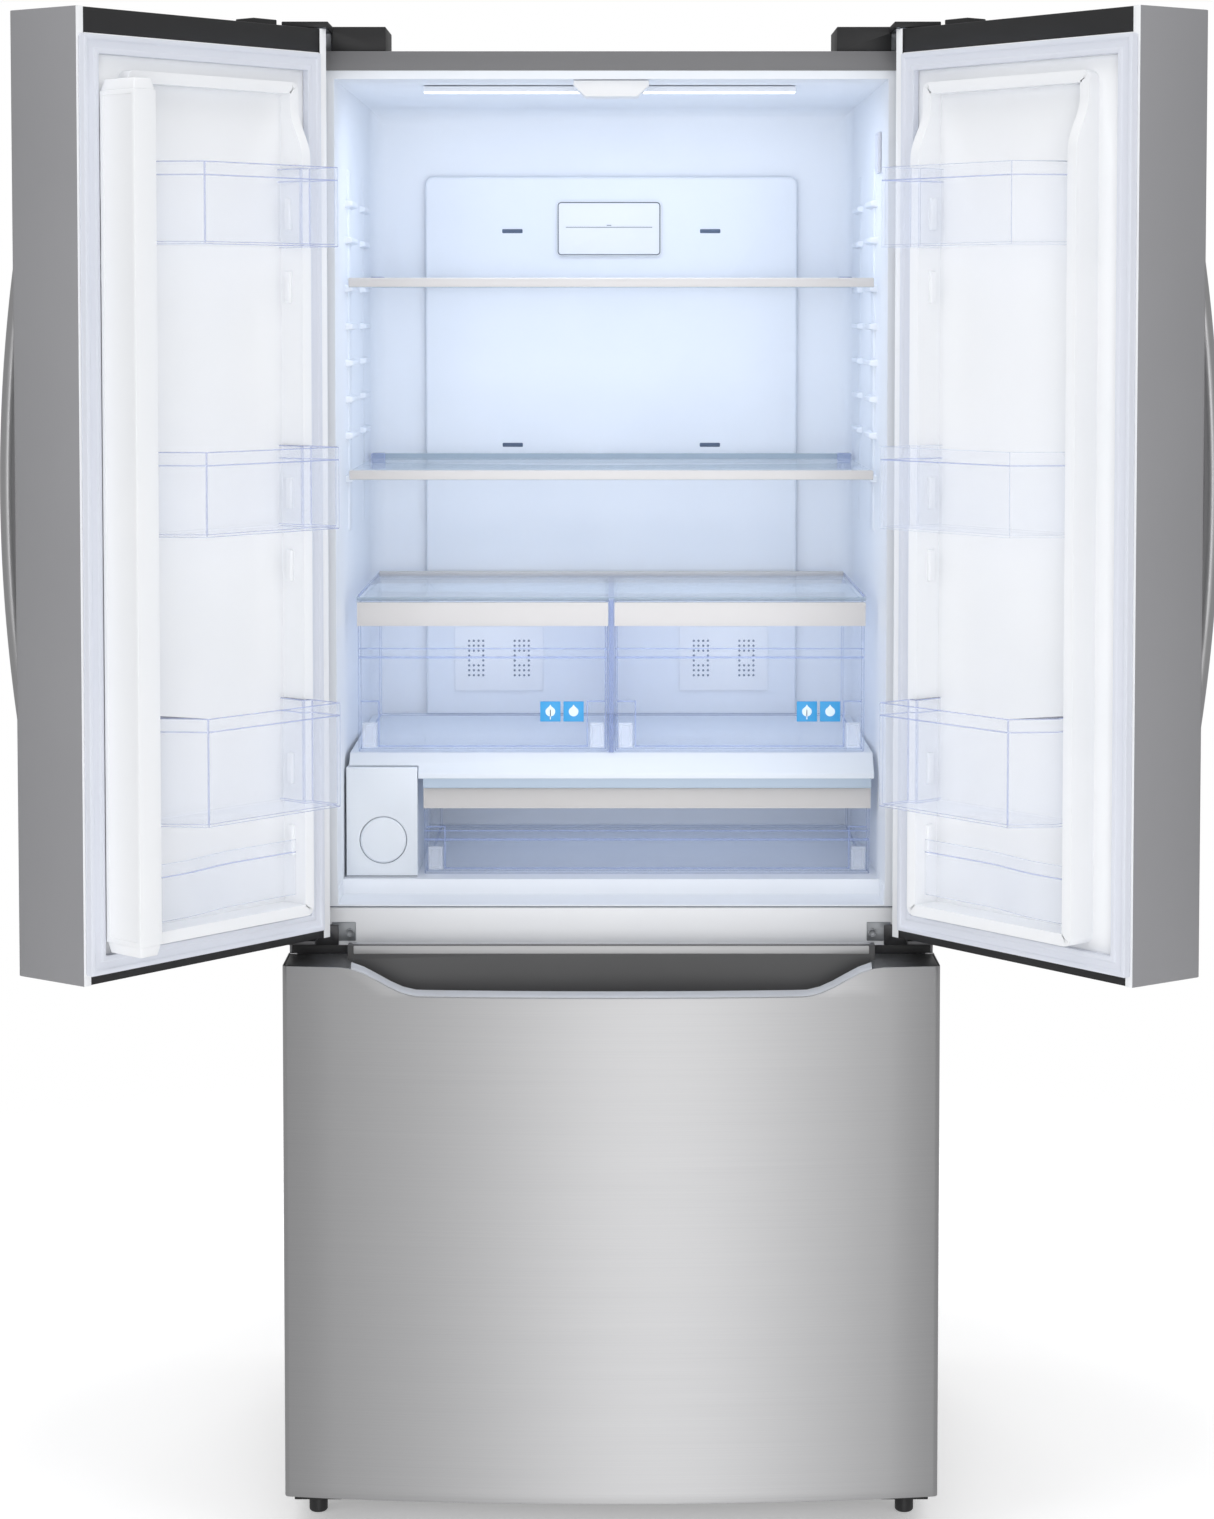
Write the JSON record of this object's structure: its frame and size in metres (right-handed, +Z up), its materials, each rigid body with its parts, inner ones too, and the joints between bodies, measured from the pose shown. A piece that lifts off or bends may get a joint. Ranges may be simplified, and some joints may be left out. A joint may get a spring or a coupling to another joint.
{
  "type": "french door refrigerator",
  "caption": "Tall refrigerator with a pair of bowed doors standing open over a pull-out freezer drawer, with clear bins, glass shelves and crispers.",
  "frame": {"origin": "on the floor, under the middle of the whole object's box with the doors open", "axes": "+Z up, -Y towards the front that the doors open to, +X to the right as seen from the front"},
  "size_m": [1.341, 0.9581, 1.757],
  "materials": {
    "stainless_steel": "vertically brushed, satin",
    "grey_steel": "satin grey paint over sheet steel",
    "zinc_steel": "zinc plated sheet",
    "black_steel": "black paint",
    "white_plastic": "moulded, soft gloss",
    "clear_plastic": "clear, faintly blue, polished",
    "silver_trim": "pale metallic satin",
    "shelf_glass": "tempered float glass, polished",
    "lamp_lens": "diffusing lens, lit",
    "seal_rubber": "soft matt vinyl",
    "black_plastic": "moulded, fine grain",
    "fin_aluminium": "bare fins"
  },
  "bodies": {
    "cabinet": {"cabinet_shell": "grey_steel", "rear_panel": "zinc_steel", "base_frame": "black_steel", "fresh_food_liner": "white_plastic", "freezer_liner": "white_plastic", "centre_rail": "white_plastic", "air_duct_cover": "white_plastic", "air_filter_cover": "white_plastic", "ceiling_light": "lamp_lens", "mullion_guide": "white_plastic", "left_top_hinge": "zinc_steel", "right_top_hinge": "zinc_steel", "left_top_hinge_cover": "black_plastic", "right_top_hinge_cover": "black_plastic", "left_lower_hinge": "zinc_steel", "right_lower_hinge": "zinc_steel", "crisper_cover": "shelf_glass", "deck_panel": "white_plastic", "filter_housing": "white_plastic", "compressor": "black_steel", "condenser_coil": "black_steel", "evaporator": "fin_aluminium"},
    "filter_cap": {"filter_cap": "white_plastic"},
    "evaporator_fan": {"evaporator_fan": "black_plastic"},
    "condenser_fan": {"condenser_fan": "black_plastic"},
    "left_rear_roller": {"left_rear_roller": "black_plastic"},
    "right_rear_roller": {"right_rear_roller": "black_plastic"},
    "left_front_foot": {"left_front_foot": "black_plastic"},
    "right_front_foot": {"right_front_foot": "black_plastic"},
    "mullion": {"mullion_bar": "white_plastic"},
    "upper_shelf": {"upper_shelf": "shelf_glass"},
    "middle_shelf": {"middle_shelf": "shelf_glass"},
    "left_crisper": {"left_crisper": "clear_plastic"},
    "right_crisper": {"right_crisper": "clear_plastic"},
    "deli_drawer": {"deli_drawer": "clear_plastic"},
    "freezer_drawer": {"freezer_front": "stainless_steel", "freezer_grip": "black_plastic", "freezer_inner_panel": "white_plastic", "freezer_gasket": "seal_rubber", "freezer_carriage": "zinc_steel"},
    "lower_basket": {"lower_basket": "white_plastic"},
    "upper_basket": {"upper_basket": "white_plastic"},
    "left_door": {"left_door_panel": "grey_steel", "left_door_top_cap": "black_plastic", "left_door_bottom_cap": "black_plastic", "left_door_liner": "white_plastic", "left_door_gasket": "seal_rubber", "left_door_handle": "stainless_steel"},
    "left_lower_bin": {"left_lower_bin": "clear_plastic"},
    "left_middle_bin": {"left_middle_bin": "clear_plastic"},
    "left_upper_bin": {"left_upper_bin": "clear_plastic"},
    "right_door": {"right_door_panel": "grey_steel", "right_door_top_cap": "black_plastic", "right_door_bottom_cap": "black_plastic", "right_door_liner": "white_plastic", "right_door_gasket": "seal_rubber", "right_door_handle": "stainless_steel"},
    "right_lower_bin": {"right_lower_bin": "clear_plastic"},
    "right_middle_bin": {"right_middle_bin": "clear_plastic"},
    "right_upper_bin": {"right_upper_bin": "clear_plastic"}
  },
  "joints": [
    {"name": "left_door_swing", "type": "hinge", "parent": "cabinet", "child": "left_door", "pos_m": [-0.361, -0.168, 1.2], "axis": [0, 0, -1], "range_deg": [-131, 3]},
    {"name": "right_door_swing", "type": "hinge", "parent": "cabinet", "child": "right_door", "pos_m": [0.361, -0.168, 1.2], "axis": [0, 0, 1], "range_deg": [-129.5, 4.5]},
    {"name": "mullion_flip", "type": "hinge", "parent": "left_door", "child": "mullion", "pos_m": [-0.546, -0.44179, 1.2], "axis": [0, 0, 1], "range_deg": [-90, 0]},
    {"name": "freezer_drawer_slide", "type": "slide", "parent": "cabinet", "child": "freezer_drawer", "axis": [0, -1, 0], "range_m": [0, 0.38]},
    {"name": "lower_basket_lift", "type": "slide", "parent": "freezer_drawer", "child": "lower_basket", "axis": [0, 0, 1], "range_m": [0, 0.04]},
    {"name": "upper_basket_lift", "type": "slide", "parent": "freezer_drawer", "child": "upper_basket", "axis": [0, 0, 1], "range_m": [0, 0.05]},
    {"name": "upper_shelf_slide", "type": "slide", "parent": "cabinet", "child": "upper_shelf", "axis": [0, -1, 0], "range_m": [0, 0.12]},
    {"name": "middle_shelf_slide", "type": "slide", "parent": "cabinet", "child": "middle_shelf", "axis": [0, -1, 0], "range_m": [0, 0.12]},
    {"name": "left_crisper_slide", "type": "slide", "parent": "cabinet", "child": "left_crisper", "axis": [0, -1, 0], "range_m": [0, 0.22]},
    {"name": "right_crisper_slide", "type": "slide", "parent": "cabinet", "child": "right_crisper", "axis": [0, -1, 0], "range_m": [0, 0.22]},
    {"name": "deli_drawer_slide", "type": "slide", "parent": "cabinet", "child": "deli_drawer", "axis": [0, -1, 0], "range_m": [0, 0.22]},
    {"name": "left_lower_bin_lift", "type": "slide", "parent": "left_door", "child": "left_lower_bin", "axis": [0, 0, 1], "range_m": [0, 0.03]},
    {"name": "left_middle_bin_lift", "type": "slide", "parent": "left_door", "child": "left_middle_bin", "axis": [0, 0, 1], "range_m": [0, 0.03]},
    {"name": "left_upper_bin_lift", "type": "slide", "parent": "left_door", "child": "left_upper_bin", "axis": [0, 0, 1], "range_m": [0, 0.03]},
    {"name": "right_lower_bin_lift", "type": "slide", "parent": "right_door", "child": "right_lower_bin", "axis": [0, 0, 1], "range_m": [0, 0.03]},
    {"name": "right_middle_bin_lift", "type": "slide", "parent": "right_door", "child": "right_middle_bin", "axis": [0, 0, 1], "range_m": [0, 0.03]},
    {"name": "right_upper_bin_lift", "type": "slide", "parent": "right_door", "child": "right_upper_bin", "axis": [0, 0, 1], "range_m": [0, 0.03]},
    {"name": "filter_cap_turn", "type": "hinge", "parent": "cabinet", "child": "filter_cap", "pos_m": [-0.2734, -0.0465, 0.7942], "axis": [0, 1, 0], "range_deg": [0, 90]},
    {"name": "evaporator_fan_spin", "type": "hinge", "parent": "cabinet", "child": "evaporator_fan", "pos_m": [0, 0.414, 0.46], "axis": [0, 1, 0], "continuous": true},
    {"name": "condenser_fan_spin", "type": "hinge", "parent": "cabinet", "child": "condenser_fan", "pos_m": [0.01, 0.384, 0.125], "axis": [1, 0, 0], "continuous": true},
    {"name": "left_rear_roller_spin", "type": "hinge", "parent": "cabinet", "child": "left_rear_roller", "pos_m": [-0.34, 0.414, 0.02], "axis": [1, 0, 0], "continuous": true},
    {"name": "left_front_foot_screw", "type": "slide", "parent": "cabinet", "child": "left_front_foot", "axis": [0, 0, -1], "range_m": [0, 0.012]},
    {"name": "right_rear_roller_spin", "type": "hinge", "parent": "cabinet", "child": "right_rear_roller", "pos_m": [0.34, 0.414, 0.02], "axis": [1, 0, 0], "continuous": true},
    {"name": "right_front_foot_screw", "type": "slide", "parent": "cabinet", "child": "right_front_foot", "axis": [0, 0, -1], "range_m": [0, 0.012]}
  ]
}
